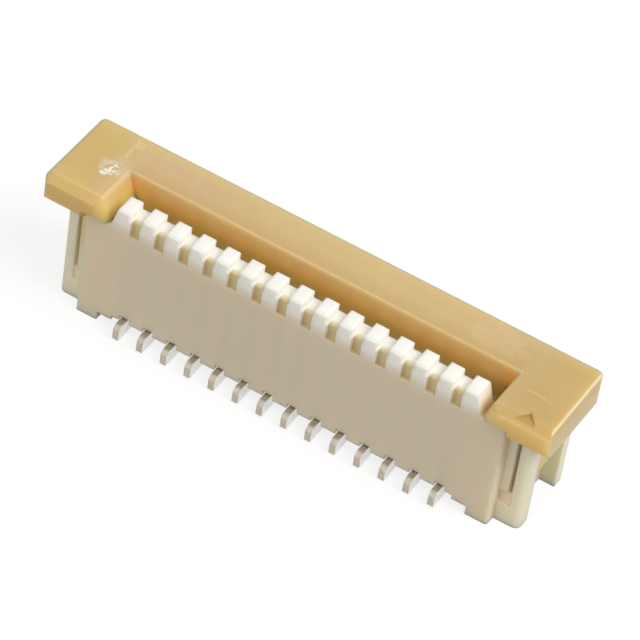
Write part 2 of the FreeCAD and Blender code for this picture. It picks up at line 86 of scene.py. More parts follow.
class LockSettings(bpy.types.PropertyGroup):
    tan: bpy.props.FloatVectorProperty(
        name="Tan", description="Colour of the lock's beam", subtype="COLOR",
        default=(0.63, 0.47, 0.20))
    gold: bpy.props.FloatVectorProperty(
        name="Gold", description="Yellower colour of the lock's arms", subtype="COLOR",
        default=(0.62, 0.44, 0.14))
    rose: bpy.props.FloatVectorProperty(
        name="Rose tan", description="Pinker colour of the flow marks", subtype="COLOR",
        default=(0.63, 0.44, 0.24))
    # The amber is painted light: light that has crossed the plastic comes out in the notch
    amber: bpy.props.FloatVectorProperty(
        name="Amber", description="Deep colour inside the notch", subtype="COLOR",
        default=(0.88, 0.62, 0.24))
    edge_radius: bpy.props.FloatProperty(
        name="Edge radius", description="Softness of the moulded edges", subtype="DISTANCE", unit="LENGTH",
        default=0.11 * MM)


class ContactSettings(bpy.types.PropertyGroup):
    tin: bpy.props.FloatVectorProperty(
        name="Tin", description="Colour of the rolled, tinned faces", subtype="COLOR",
        default=(0.84, 0.84, 0.82))
    cut: bpy.props.FloatVectorProperty(
        name="Cut edge", description="Colour of the punched edges", subtype="COLOR",
        default=(0.42, 0.37, 0.30))
    edge_radius: bpy.props.FloatProperty(
        name="Edge radius", description="Roll-over of the punched edges", subtype="DISTANCE", unit="LENGTH",
        default=0.02 * MM)


class StageSettings(bpy.types.PropertyGroup):
    lens: bpy.props.FloatProperty(
        name="Lens", description="Focal length of the camera in millimetres", default=258.9, min=10.0)
    eye: bpy.props.FloatVectorProperty(
        name="Eye", description="Place of the camera", subtype="XYZ", unit="LENGTH",
        default=(47.634 * MM, -102.883 * MM, 115.597 * MM))
    turn: bpy.props.FloatVectorProperty(
        name="Turn", description="Turn of the camera about X, Y and Z", subtype="EULER", unit="ROTATION",
        default=(math.radians(44.945), math.radians(-6.728), math.radians(31.402)))
    sky: bpy.props.FloatProperty(
        name="Sky", description="Level of the light from all sides", default=0.55, min=0.0)
    key: bpy.props.FloatProperty(
        name="Key", description="Level of the main lamp", default=0.66, min=0.0)
    fill: bpy.props.FloatProperty(
        name="Fill", description="Level of the lamp at the front", default=0.20, min=0.0)


# Helpers for materials

# Half the length over which the ends of a stroke fade, in millimetres
STROKE_FADE = 0.05
# How far the noise moves the edge of a spot, where that edge fades, and a radius far above any height
RAGGEDNESS = 1.6
SPOT_FADE = (1.1, 0.7)
ANY_HEIGHT = 1000.0
# Rays that soften a moulded edge
EDGE_SAMPLES = 6


def new_material(name):
    material = bpy.data.materials.new(name)
    material.use_nodes = True
    tree = material.node_tree
    return material, tree, tree.nodes["Principled BSDF"]


def add_node(tree, kind, **values):
    """Add a node and set its properties by name."""
    node = tree.nodes.new(kind)
    for key, value in values.items():
        setattr(node, key, value)
    return node


def feed(tree, node, socket, source):
    """Link a socket to another node's output, or set its value."""
    if isinstance(source, bpy.types.NodeSocket):
        tree.links.new(source, node.inputs[socket])
    else:
        node.inputs[socket].default_value = source


def arithmetic(tree, operation, *values):
    node = add_node(tree, "ShaderNodeMath", operation=operation)
    for index, value in enumerate(values):
        feed(tree, node, index, value)
    return node.outputs[0]


def between(tree, value, low, high, out_low=0.0, out_high=1.0, smooth=True):
    """Change from one number to another while a value goes from low to high, clamped outside."""
    node = add_node(tree, "ShaderNodeMapRange", interpolation_type="SMOOTHSTEP" if smooth else "LINEAR")
    for socket, number in (("Value", value), ("From Min", low), ("From Max", high),
                           ("To Min", out_low), ("To Max", out_high)):
        feed(tree, node, socket, number)
    return node.outputs[0]


def blended(tree, factor, first, second):
    """First colour where the factor is zero, second where it is one."""
    node = add_node(tree, "ShaderNodeMix", data_type="RGBA")
    for socket, value in ((0, factor), (6, first), (7, second)):
        if socket != 0 and not isinstance(value, bpy.types.NodeSocket):
            value = (*value[:3], 1.0)
        feed(tree, node, socket, value)
    return node.outputs[2]


def tinted(tree, tone, colour, mask, share=None):
    """Lay a colour over a tone where a mask says, all of it or a share."""
    if share is not None:
        mask = arithmetic(tree, "MULTIPLY", mask, share)
    return blended(tree, mask, tone, colour)


def product(tree, *masks):
    whole = masks[0]
    for mask in masks[1:]:
        whole = arithmetic(tree, "MULTIPLY", whole, mask)
    return whole


def band(tree, value, low, high, soft):
    """One between two values, fading out over a soft edge."""
    return product(tree, between(tree, value, low - soft, low + soft),
                   between(tree, value, high - soft, high + soft, 1.0, 0.0))


def millimetres(tree, stretch=(1.0, 1.0, 1.0)):
    """Place on the piece, in millimetres, with each axis stretched."""
    place_on_piece = add_node(tree, "ShaderNodeTexCoord")
    mapping = add_node(tree, "ShaderNodeMapping")
    tree.links.new(place_on_piece.outputs["Object"], mapping.inputs["Vector"])
    mapping.inputs["Scale"].default_value = [factor / MM for factor in stretch]
    return mapping.outputs["Vector"]


def axes_of(tree, vector):
    """Three parts of a vector: across, back and up."""
    parts = add_node(tree, "ShaderNodeSeparateXYZ")
    feed(tree, parts, "Vector", vector)
    return parts.outputs


def noise(tree, vector, scale, detail=2.0, roughness=0.5):
    node = add_node(tree, "ShaderNodeTexNoise")
    for socket, value in (("Vector", vector), ("Scale", scale), ("Detail", detail), ("Roughness", roughness)):
        feed(tree, node, socket, value)
    return node.outputs["Fac"]


def new_group(name, inputs, outputs):
    """Shader node group with a place in and masks out."""
    group = bpy.data.node_groups.new(name, "ShaderNodeTree")
    for label, kind, default in inputs:
        socket = group.interface.new_socket(name=label, in_out="INPUT", socket_type=kind)
        if default is not None:
            socket.default_value = default
    for label in outputs:
        group.interface.new_socket(name=label, in_out="OUTPUT", socket_type="NodeSocketFloat")
    return group, group.nodes.new("NodeGroupInput"), group.nodes.new("NodeGroupOutput")


def moulded_skin():
    """Fine moulded grain, and a cloudy unevenness in the plastic."""
    name = "moulded_skin"
    if name in bpy.data.node_groups:
        return bpy.data.node_groups[name]
    group, into, out = new_group(
        name, [("Vector", "NodeSocketVector", None), ("Grain Scale", "NodeSocketFloat", 9.0),
               ("Cloud Scale", "NodeSocketFloat", 0.5)], ["Grain", "Cloud"])
    grain = noise(group, into.outputs["Vector"], into.outputs["Grain Scale"], 3.0, 0.6)
    cloud = noise(group, into.outputs["Vector"], into.outputs["Cloud Scale"], 3.0, 0.55)
    group.links.new(grain, out.inputs["Grain"])
    group.links.new(between(group, cloud, 0.3, 0.7), out.inputs["Cloud"])
    return group


def stray_specks():
    """A few small dark inclusions: one cell in several holds one."""
    name = "stray_specks"
    if name in bpy.data.node_groups:
        return bpy.data.node_groups[name]
    group, into, out = new_group(
        name, [("Vector", "NodeSocketVector", None), ("Scale", "NodeSocketFloat", 0.6),
               ("Size", "NodeSocketFloat", 0.05), ("Share", "NodeSocketFloat", 0.2)], ["Speck"])
    cells = add_node(group, "ShaderNodeTexVoronoi", feature="F1")
    feed(group, cells, "Vector", into.outputs["Vector"])
    feed(group, cells, "Scale", into.outputs["Scale"])
    near = between(group, cells.outputs["Distance"], 0.0, into.outputs["Size"], 1.0, 0.0)
    chosen = add_node(group, "ShaderNodeSeparateColor")
    feed(group, chosen, "Color", cells.outputs["Color"])
    picked = arithmetic(group, "LESS_THAN", chosen.outputs[0], into.outputs["Share"])
    group.links.new(arithmetic(group, "MULTIPLY", near, picked), out.inputs["Speck"])
    return group


def straight_stroke():
    """Mask of one straight mark that starts at the origin of its vector and runs along X."""
    name = "straight_stroke"
    if name in bpy.data.node_groups:
        return bpy.data.node_groups[name]
    group, into, out = new_group(
        name, [("Vector", "NodeSocketVector", None), ("Length", "NodeSocketFloat", 1.0),
               ("Width", "NodeSocketFloat", 0.03)], ["Mark"])
    along, aside, _ = axes_of(group, into.outputs["Vector"])
    off = arithmetic(group, "ABSOLUTE", aside)
    thin = between(group, off, 0.0, into.outputs["Width"], 1.0, 0.0)
    past = arithmetic(group, "SUBTRACT", along, into.outputs["Length"])
    started = between(group, along, -STROKE_FADE, STROKE_FADE)
    unfinished = between(group, past, STROKE_FADE, -STROKE_FADE)
    inside = arithmetic(group, "MULTIPLY", started, unfinished)
    group.links.new(arithmetic(group, "MULTIPLY", thin, inside), out.inputs["Mark"])
    return group


def effect(tree, group, vector, **values):
    """Add a node group at a place, with its other sockets set by their names in small letters."""
    node = add_node(tree, "ShaderNodeGroup", node_tree=group)
    feed(tree, node, "Vector", vector)
    for label, value in values.items():
        feed(tree, node, label.replace("_", " ").title(), value)
    return node


def soft_normal(tree, shader, height, depth, radius):
    """Grain as a bump over softened edges."""
    edges = add_node(tree, "ShaderNodeBevel", samples=EDGE_SAMPLES)
    edges.inputs["Radius"].default_value = radius
    bump = add_node(tree, "ShaderNodeBump")
    bump.inputs["Distance"].default_value = depth
    bump.inputs["Strength"].default_value = 1.0
    feed(tree, bump, "Height", height)
    tree.links.new(edges.outputs["Normal"], bump.inputs["Normal"])
    tree.links.new(bump.outputs["Normal"], shader.inputs["Normal"])


def stroke(tree, where, start, end, width):
    """Mask of a straight mark between two places in millimetres."""
    run = Vector(end) - Vector(start)
    mapping = add_node(tree, "ShaderNodeMapping", vector_type="TEXTURE")
    feed(tree, mapping, "Vector", where)
    mapping.inputs["Location"].default_value = (*start, 0.0)
    mapping.inputs["Rotation"].default_value = (0.0, 0.0, math.atan2(run.y, run.x))
    mark = effect(tree, straight_stroke(), mapping.outputs["Vector"], length=run.length, width=width)
    return mark.outputs["Mark"]


def spot(tree, where, middle, radii, ragged):
    """Mask of an oval spot with a ragged edge; middle and radii in millimetres."""
    mapping = add_node(tree, "ShaderNodeMapping", vector_type="TEXTURE")
    feed(tree, mapping, "Vector", where)
    mapping.inputs["Location"].default_value = (*middle, 0.0)
    mapping.inputs["Scale"].default_value = (*radii, ANY_HEIGHT)
    reach = add_node(tree, "ShaderNodeVectorMath", operation="LENGTH")
    tree.links.new(mapping.outputs["Vector"], reach.inputs[0])
    uneven = arithmetic(tree, "MULTIPLY", arithmetic(tree, "SUBTRACT", ragged, 0.5), RAGGEDNESS)
    return between(tree, arithmetic(tree, "ADD", reach.outputs["Value"], uneven), *SPOT_FADE)


def let_light_in(shader, weight, radius, scale):
    """Let light enter the plastic and come out again nearby, red light furthest away."""
    shader.inputs["Subsurface Weight"].default_value = weight
    shader.inputs["Subsurface Radius"].default_value = radius
    shader.inputs["Subsurface Scale"].default_value = scale


def looked_at(tree):
    """One for the camera and for what gloss and glass show of it, zero for light on the object."""
    path = add_node(tree, "ShaderNodeLightPath")
    seen = arithmetic(tree, "MAXIMUM", path.outputs["Is Camera Ray"], path.outputs["Is Glossy Ray"])
    return arithmetic(tree, "MAXIMUM", seen, path.outputs["Is Transmission Ray"])


# Materials

# Scratches on the lock's top: both ends in millimetres, width, and how much they show
SCRATCHES = (
    ((8.46, -0.35), (9.20, -0.37), 0.06, 0.4),
    ((9.00, -0.42), (9.46, -0.46), 0.05, 0.35),
    ((-8.46, 1.72), (-8.44, 0.70), 0.11, 0.45),
)
# Spots of plastic whitened by tearing at the gate: middle and radii in millimetres, and how much they show
WHITENED = (
    ((-8.62, -0.43), (0.21, 0.09), 1.0),
    ((-8.44, -0.36), (0.16, 0.08), 0.8),
    ((-8.24, -0.16), (0.10, 0.16), 0.35),
)
# Spots round the gate, beside the step line and where the beam has a painted sheen: middle and radii in
# millimetres
HALO_SPOT = ((-8.42, 0.02), (0.66, 0.62))
CRATER_SPOT = ((-8.52, -0.02), (0.42, 0.40))
PALE_SPOT = ((-8.27, 1.50), (0.15, 0.24))
SHEEN_SPOT = ((6.35, 1.12), (1.25, 0.7))
# Depths in millimetres below the lock's top between which a mask for the top, or for what lies lower, rises
ON_TOP = (0.06, 0.02)
NEAR_TOP = (0.11, 0.09)
BELOW_TOP = (0.02, 0.12)
# Triangle on the lock's top: middle of its base, across and behind the front face, and its width and depth
MARK_MIDDLE = (9.13, -0.10)
MARK_SIZE = (0.80, 0.45)
# Row of teeth in millimetres: half the pitch, top of the grooves, and the row's end
HALF_PITCH = 0.5
GROOVE_TOP = 5.32
ROW_END = 7.2
# Notch of the lock in millimetres: its side, its rim behind the front face, and the top of the legs beside it
NOTCH_SIDE = 8.0
NOTCH_RIM = 1.80
LEG_TOP = 4.66
# Stretches that draw noise out along the lock, the way the plastic flowed, and across the contacts' cut faces
FLOW_STRETCH = (0.35, 1.2, 1.2)
DRAG_STRETCH = (40.0, 3.0, 3.0)
# Range of the grain's noise over which the roughness changes
GRAIN_RANGE = (0.2, 0.8)

# Colours that masks lay over the housing's plain ones: painted light on the posts, the teeth's fronts and the
# slit, painted shade in the grooves and on the flanks, and dark specks
POST_PAINTED_LIGHT = (1.0, 0.90, 0.64)
GROOVE_SHADE_SIDES = ((0.60, 0.45, 0.18), (0.68, 0.58, 0.32))
TOOTH_FRONT_PAINTED_GLOW = (0.99, 0.96, 0.86)
SLIT_PAINTED_GLOW = (0.92, 0.66, 0.26)
FLANK_SHADE_AND_REFLECTION = (0.72, 0.52, 0.26)
SPECK = (0.12, 0.09, 0.05)
# Colours that masks lay over the lock's plain ones
DEEP_END = (0.52, 0.35, 0.13)
PALE_CLOUD = (0.74, 0.60, 0.34)
FINE_MOTTLE = (0.50, 0.36, 0.17)
NOTCH_EDGE = (0.50, 0.32, 0.12)
BACK_EDGE = (0.70, 0.56, 0.26)
# Painted light: amber in the notch, at its foot, on the legs and on the arms' fronts
NOTCH_FOOT_GLOW = (0.92, 0.58, 0.17)
LEG_PAINTED_GLOW = (0.92, 0.68, 0.28)
ARM_FRONT_PAINTED_LIGHT = ((0.72, 0.51, 0.19), (0.88, 0.61, 0.23))
ARM_FOOT_PAINTED_LIGHT = (0.92, 0.56, 0.17)
# Painted shade in the notch's inner corners and on the bevel along its rim
NOTCH_CORNER_SHADE = (0.84, 0.46, 0.08)
NOTCH_BEVEL_SHADE = (0.48, 0.30, 0.14)
# Painted highlights along the plain arm's front bevel and the notch's rim, painted light on the end face, a
# painted highlight along the marked end's bevel, and painted shade along the back
FRONT_HIGHLIGHT = (0.82, 0.66, 0.40)
RIM_HIGHLIGHT = (0.82, 0.63, 0.45)
END_FACE_PAINTED_LIGHT = (0.82, 0.66, 0.36)
END_HIGHLIGHT = (0.92, 0.80, 0.58)
BACK_LINE_SHADE = (0.42, 0.33, 0.30)
# Painted shade in the triangle's recess
MARK_SHADE = (0.46, 0.30, 0.07)
GATE_HALO = (0.66, 0.50, 0.33)
GATE_CRATER = (0.86, 0.73, 0.52)
TORN_WHITE = (1.0, 0.86, 0.64)
PALE_PATCH = (0.84, 0.66, 0.34)
# Painted sheen on a cloudy patch of the beam's top
SHEEN_PATCH = (0.76, 0.58, 0.32)
SCRATCH = (0.82, 0.68, 0.48)
# Colours of the gate's stub from pit to peak, and of its clouds
STUB_DEPTHS = ((0.52, 0.42, 0.20), (0.95, 0.88, 0.75))
STUB_CLOUD = (0.70, 0.54, 0.30)
# Colours in the contacts' metal: drag marks on the cut faces, and clouds
DRAG_MARK = (0.58, 0.53, 0.45)
METAL_CLOUD = (0.45, 0.40, 0.33)


class Places:
    """Where a point of a piece lies at rest, in millimetres, as sockets of a material's nodes."""

    def __init__(self, tree):
        self.where = millimetres(tree)
        self.across, self.back, self.up = axes_of(tree, self.where)
        self.sideways = arithmetic(tree, "ABSOLUTE", self.across)
        self.behind = arithmetic(tree, "SUBTRACT", self.back, FRONT_FACE)


def from_top(tree, up, low, high):
    """Mask that rises from zero to one between two depths below the lock's top."""
    return between(tree, up, LOCK_TOP - low, LOCK_TOP - high)


def tooth_tone(tree, at, tone):
    """Painted shade in the grooves under the gaps between the teeth, yellowed by painted light through the
    thin wall, and a painted glow on the teeth's fronts.
    """
    from_contact = arithmetic(tree, "SUBTRACT", at.across, HALF_PITCH)
    from_groove = arithmetic(tree, "WRAP", from_contact, HALF_PITCH, -HALF_PITCH)
    groove_shade = product(
        tree,
        between(tree, arithmetic(tree, "ABSOLUTE", from_groove), 0.22, 0.16),
        between(tree, at.up, SHOWN_FLOOR - 0.04, SHOWN_FLOOR + 0.02),
        between(tree, at.up, GROOVE_TOP + 0.02, GROOVE_TOP),
        between(tree, at.back, FRONT_FACE + 0.42, FRONT_FACE + 0.12),
        between(tree, at.sideways, ROW_END, ROW_END - 0.1))
    # Painted shade: the left of each groove is darker
    groove_shade_tone = blended(tree, between(tree, from_groove, -0.16, 0.08), *GROOVE_SHADE_SIDES)
    tone = tinted(tree, tone, groove_shade_tone, groove_shade, 0.9)
    glow = product(tree, between(tree, at.up, 4.85, 5.2), between(tree, at.up, 5.66, 5.56),
                   between(tree, groove_shade, 0.1, 0.0))
    return tinted(tree, tone, TOOTH_FRONT_PAINTED_GLOW, glow)


def housing_plastic(settings):
    material, tree, shader = new_material("housing_plastic")
    at = Places(tree)
    skin = effect(tree, moulded_skin(), at.where, grain_scale=11.0, cloud_scale=0.35)
    specks = effect(tree, stray_specks(), at.where, scale=0.45, size=0.02, share=0.1)
    # Warmer and darker below the teeth: partly the thick body's own colour, partly painted shade
    tone = blended(tree, between(tree, at.up, 4.45, 5.25), settings.body, settings.cream)
    tone = tinted(tree, tone, settings.shade, skin.outputs["Cloud"], 0.12)
    # Painted light: the thin webs and posts at both ends are lighter, as they let more light through, and the
    # posts' fronts more so
    tone = tinted(tree, tone, settings.ends, between(tree, at.sideways, 8.2, 9.3))
    back_post = product(tree, between(tree, at.back, 0.5, 0.7), between(tree, at.across, 8.9, 9.1))
    front_post = product(tree, between(tree, at.back, -0.6, -0.8), between(tree, at.across, -8.6, -8.8))
    tone = tinted(tree, tone, POST_PAINTED_LIGHT, arithmetic(tree, "MAXIMUM", back_post, front_post))
    tone = tooth_tone(tree, at, tone)
    # Painted warm light from the lock's leg in the slit beside the plain end's front post
    slit = product(tree, band(tree, at.across, -8.95, -8.3, 0.03), band(tree, at.back, -1.2, 0.3, 0.05),
                   between(tree, at.up, 4.5, 4.4), between(tree, at.up, 1.8, 3.2))
    tone = tinted(tree, tone, SLIT_PAINTED_GLOW, slit, 0.7)
    # Painted shade, with amber reflected from the lock, on the outer flanks of the row of teeth
    flank = product(tree, band(tree, at.sideways, ROW_END + 0.02, ROW_END + 0.4, 0.02),
                    between(tree, at.up, 5.6, 4.8),
                    band(tree, at.back, FRONT_FACE + 0.2, FRONT_FACE + 1.2, 0.1))
    tone = tinted(tree, tone, FLANK_SHADE_AND_REFLECTION, flank, 0.55)
    tone = tinted(tree, tone, SPECK, specks.outputs["Speck"])
    feed(tree, shader, "Base Color", tone)
    feed(tree, shader, "Roughness", between(tree, skin.outputs["Grain"], *GRAIN_RANGE, 0.42, 0.6))
    let_light_in(shader, 0.6, (1.0, 0.8, 0.5), 1.0 * MM)
    soft_normal(tree, shader, skin.outputs["Grain"], settings.grain, settings.edge_radius)
    return material


def beam_tone(tree, at, settings, cloud):
    """Flow marks, mottle and slow changes of colour over the whole lock."""
    flow = effect(tree, moulded_skin(), millimetres(tree, FLOW_STRETCH), grain_scale=4.0, cloud_scale=0.9)
    # Pinker flow near the gate's end of the beam, yellower arms
    near_gate = between(tree, at.across, -3.0, -7.0, 0.45, 1.0)
    tone = blended(tree, product(tree, flow.outputs["Cloud"], near_gate), settings.tan, settings.rose)
    tone = tinted(tree, tone, settings.gold, between(tree, at.sideways, 7.6, 9.2))
    tone = tinted(tree, tone, DEEP_END, between(tree, at.across, 4.0, 8.2, 0.0, 0.55))
    tone = tinted(tree, tone, PALE_CLOUD, cloud, 0.12)
    fine = between(tree, noise(tree, at.where, 5.0, 4.0, 0.7), 0.35, 0.65, 0.0, 0.16)
    tone = tinted(tree, tone, FINE_MOTTLE, fine)
    # The beam is paler towards its back edge and deeper in colour towards the notch
    toward_notch = product(tree, between(tree, at.behind, 2.7, 1.75), between(tree, at.sideways, 8.2, 7.6))
    tone = tinted(tree, tone, NOTCH_EDGE, toward_notch, 0.5)
    return tinted(tree, tone, BACK_EDGE, between(tree, at.behind, 2.8, 3.6), 0.35)


def notch_tone(tree, at, tone, amber):
    """Painted light: amber where light that has crossed the plastic comes out, in the notch, on the legs and
    on the arms' fronts, and painted shade in the notch's corners and along its bevel.
    """
    below_top = from_top(tree, at.up, *BELOW_TOP)
    depth = between(tree, at.up, LOCK_TOP - 0.1, 4.7, 0.3, 1.0, smooth=False)
    notch = product(tree, below_top, depth, between(tree, at.sideways, NOTCH_SIDE, NOTCH_SIDE - 0.1),
                    between(tree, at.behind, NOTCH_RIM + 0.2, NOTCH_RIM + 0.1))
    # Painted amber light in the notch, stronger deeper down and at its foot, and on the legs
    tone = tinted(tree, tone, amber, notch)
    tone = tinted(tree, tone, NOTCH_FOOT_GLOW, product(tree, notch, between(tree, at.up, 5.5, 5.1)))
    tone = tinted(tree, tone, LEG_PAINTED_GLOW, between(tree, at.up, LEG_TOP, LEG_TOP - 0.16, 0.0, 0.7))
    # Painted light on the arms' fronts, weaker on the plain arm and more orange at their feet
    front = product(tree, below_top, between(tree, at.behind, 0.1, -0.2),
                    between(tree, at.sideways, 7.4, 7.6))
    front_light_tone = blended(tree, between(tree, at.across, -NOTCH_SIDE, NOTCH_SIDE), *ARM_FRONT_PAINTED_LIGHT)
    tone = tinted(tree, tone, front_light_tone, product(tree, front, between(tree, at.up, 5.56, 5.42, 0.2, 0.95)))
    tone = tinted(tree, tone, ARM_FOOT_PAINTED_LIGHT, product(tree, front, between(tree, at.up, 5.15, 4.8, 0.0, 0.5)))
    # Painted shade: the inner corners of the notch are the darkest, and the bevel along its rim is a little
    # darker
    corner = product(tree, band(tree, at.sideways, NOTCH_SIDE - 0.7, NOTCH_SIDE, 0.25),
                     band(tree, at.behind, NOTCH_RIM - 0.6, NOTCH_RIM + 0.2, 0.25),
                     between(tree, at.up, 5.62, 5.3))
    tone = tinted(tree, tone, NOTCH_CORNER_SHADE, corner, 0.5)
    bevel_shade = product(tree, band(tree, at.behind, NOTCH_RIM - 0.08, NOTCH_RIM - 0.01, 0.02),
                    band(tree, at.up, LOCK_TOP - 0.10, LOCK_TOP - 0.02, 0.02),
                    between(tree, at.sideways, NOTCH_SIDE - 0.05, NOTCH_SIDE - 0.15))
    return tinted(tree, tone, NOTCH_BEVEL_SHADE, bevel_shade, 0.5)


def edge_tone(tree, at, tone):
    """Painted highlights along the lock's bevels and rims, a dark line of painted shade along its back and
    plain end, and its end face painted paler.
    """
    on_top = from_top(tree, at.up, *ON_TOP)
    # Painted highlight along the top of the plain arm's front bevel
    front_highlight = product(tree, band(tree, at.behind, 0.05, 0.10, 0.02), on_top,
                         between(tree, at.across, 0.2 - NOTCH_SIDE, -NOTCH_SIDE))
    tone = tinted(tree, tone, FRONT_HIGHLIGHT, front_highlight, 0.14)
    # Painted highlight round the rim of the notch
    rim = product(tree, band(tree, at.behind, NOTCH_RIM, NOTCH_RIM + 0.04, 0.015),
                  between(tree, at.sideways, NOTCH_SIDE, NOTCH_SIDE - 0.1))
    arm_rim = product(tree, band(tree, at.sideways, NOTCH_SIDE - 0.08, NOTCH_SIDE - 0.02, 0.02),
                      between(tree, at.behind, NOTCH_RIM + 0.1, NOTCH_RIM))
    line = product(tree, arithmetic(tree, "MAXIMUM", rim, arm_rim), on_top)
    tone = tinted(tree, tone, RIM_HIGHLIGHT, line, 0.45)
    # Painted light: the end face at the mark gets paler towards its foot
    end_face_light = product(tree, between(tree, at.across, LOCK_END - 0.06, LOCK_END - 0.01),
                       between(tree, at.up, 5.6, 4.8, 0.15, 0.5))
    tone = tinted(tree, tone, END_FACE_PAINTED_LIGHT, end_face_light)
    # Painted highlight along the bevel at the marked end, and a duller line of painted shade along the back
    # and the plain end
    end_highlight = product(tree, band(tree, at.across, LOCK_END - 0.08, LOCK_END - 0.01, 0.02),
                       from_top(tree, at.up, 0.14, 0.08))
    tone = tinted(tree, tone, END_HIGHLIGHT, end_highlight, 0.6)
    depth = LOCK_BACK - FRONT_FACE
    back_line_shade = arithmetic(tree, "MAXIMUM", between(tree, at.behind, depth - 0.16, depth - 0.13),
                           between(tree, at.across, 0.16 - LOCK_END, 0.13 - LOCK_END, 0.0, 0.6))
    return tinted(tree, tone, BACK_LINE_SHADE, back_line_shade, 0.7)


def mark_tone(tree, at, tone):
    """Painted shade in the recess of the triangle."""
    middle, base = MARK_MIDDLE
    width, depth = MARK_SIZE
    aside = arithmetic(tree, "ABSOLUTE", arithmetic(tree, "SUBTRACT", at.across, middle))
    half_width = between(tree, at.behind, base, base + depth, width / 2, 0.0, smooth=False)
    inside = between(tree, arithmetic(tree, "SUBTRACT", half_width, aside), -0.02, 0.02)
    marked = product(tree, inside, band(tree, at.behind, base, base + depth, 0.01))
    return tinted(tree, tone, MARK_SHADE, marked, 0.8)


def gate_tone(tree, at, tone, mottle):
    """Dull halo, pale crater and whitened spots round the gate."""
    near_top = from_top(tree, at.up, *NEAR_TOP)
    halo = product(tree, spot(tree, at.where, *HALO_SPOT, mottle), near_top)
    tone = tinted(tree, tone, GATE_HALO, halo, 0.6)
    crater = product(tree, spot(tree, at.where, *CRATER_SPOT, mottle), near_top,
                     between(tree, noise(tree, at.where, 11.0, 2.0, 0.6), 0.35, 0.6, 0.1, 0.6))
    tone = tinted(tree, tone, GATE_CRATER, crater)
    on_top = from_top(tree, at.up, *ON_TOP)
    for middle, radii, share in WHITENED:
        white = product(tree, spot(tree, at.where, middle, radii, mottle), on_top)
        tone = tinted(tree, tone, TORN_WHITE, white, share)
    return tone


def wear_and_sheen_tone(tree, at, tone, mottle):
    """Pale patch beside the step line, a painted sheen on a cloudy patch, and the straight scratches."""
    on_top = from_top(tree, at.up, *ON_TOP)
    pale = product(tree, spot(tree, at.where, *PALE_SPOT, mottle), on_top)
    tone = tinted(tree, tone, PALE_PATCH, pale, 0.25)
    cloudy = noise(tree, millimetres(tree, FLOW_STRETCH), 3.2, 4.0, 0.7)
    sheen_patch = product(tree, spot(tree, at.where, *SHEEN_SPOT, mottle), on_top,
                    between(tree, at.across, 5.35, 5.6), between(tree, cloudy, 0.35, 0.65, 0.3, 1.0))
    tone = tinted(tree, tone, SHEEN_PATCH, sheen_patch, 0.3)
    broken = between(tree, noise(tree, at.where, 9.0, 1.0), 0.35, 0.6, 0.5, 1.0)
    marks = None
    for start, end, width, share in SCRATCHES:
        one = product(tree, stroke(tree, at.where, start, end, width), on_top, share)
        marks = one if marks is None else arithmetic(tree, "MAXIMUM", marks, one)
    return tinted(tree, tone, SCRATCH, product(tree, marks, broken))


def lock_plastic(settings):
    material, tree, shader = new_material("lock_plastic")
    at = Places(tree)
    skin = effect(tree, moulded_skin(), at.where, grain_scale=8.0, cloud_scale=0.5)
    mottle = noise(tree, at.where, 3.5, 3.0, 0.65)
    tone = beam_tone(tree, at, settings, skin.outputs["Cloud"])
    tone = notch_tone(tree, at, tone, settings.amber)
    tone = edge_tone(tree, at, tone)
    tone = mark_tone(tree, at, tone)
    tone = gate_tone(tree, at, tone, mottle)
    tone = wear_and_sheen_tone(tree, at, tone, mottle)
    feed(tree, shader, "Base Color", tone)
    feed(tree, shader, "Roughness", between(tree, skin.outputs["Grain"], *GRAIN_RANGE, 0.34, 0.52))
    let_light_in(shader, 0.85, (1.0, 0.6, 0.25), 1.6 * MM)
    soft_normal(tree, shader, skin.outputs["Grain"], 0.003 * MM, settings.edge_radius)
    return material


def tinned_metal(settings):
    """Bright tin on the rolled faces, and duller punched faces with drag marks."""
    material, tree, shader = new_material("tinned_metal")
    place_on_piece = add_node(tree, "ShaderNodeTexCoord")
    facing = axes_of(tree, place_on_piece.outputs["Normal"])[0]
    rolled = between(tree, arithmetic(tree, "ABSOLUTE", facing), 0.6, 0.8)
    skin = effect(tree, moulded_skin(), millimetres(tree), grain_scale=16.0, cloud_scale=2.5)
    drag = noise(tree, millimetres(tree, DRAG_STRETCH), 1.0, 2.0)
    cut = blended(tree, between(tree, drag, 0.35, 0.65), settings.cut, DRAG_MARK)
    tone = blended(tree, rolled, cut, settings.tin)
    tone = tinted(tree, tone, METAL_CLOUD, skin.outputs["Cloud"], 0.2)
    feed(tree, shader, "Base Color", tone)
    shader.inputs["Metallic"].default_value = 0.85
    feed(tree, shader, "Roughness", between(tree, rolled, 0.0, 1.0, 0.46, 0.3, smooth=False))
    soft_normal(tree, shader, drag, 0.003 * MM, settings.edge_radius)
    return material


def torn_plastic():
    """Whitened, torn plastic that gets darker and more olive in its pits."""
    material, tree, shader = new_material("torn_plastic")
    where = millimetres(tree)
    up = axes_of(tree, where)[2]
    skin = effect(tree, moulded_skin(), where, grain_scale=14.0, cloud_scale=6.0)
    tone = blended(tree, from_top(tree, up, 0.042, 0.008), *STUB_DEPTHS)
    tone = tinted(tree, tone, STUB_CLOUD, skin.outputs["Cloud"], 0.35)
    feed(tree, shader, "Base Color", tone)
    feed(tree, shader, "Roughness", between(tree, skin.outputs["Grain"], *GRAIN_RANGE, 0.35, 0.6))
    soft_normal(tree, shader, skin.outputs["Grain"], 0.006 * MM, 0.01 * MM)
    return material


# Pieces

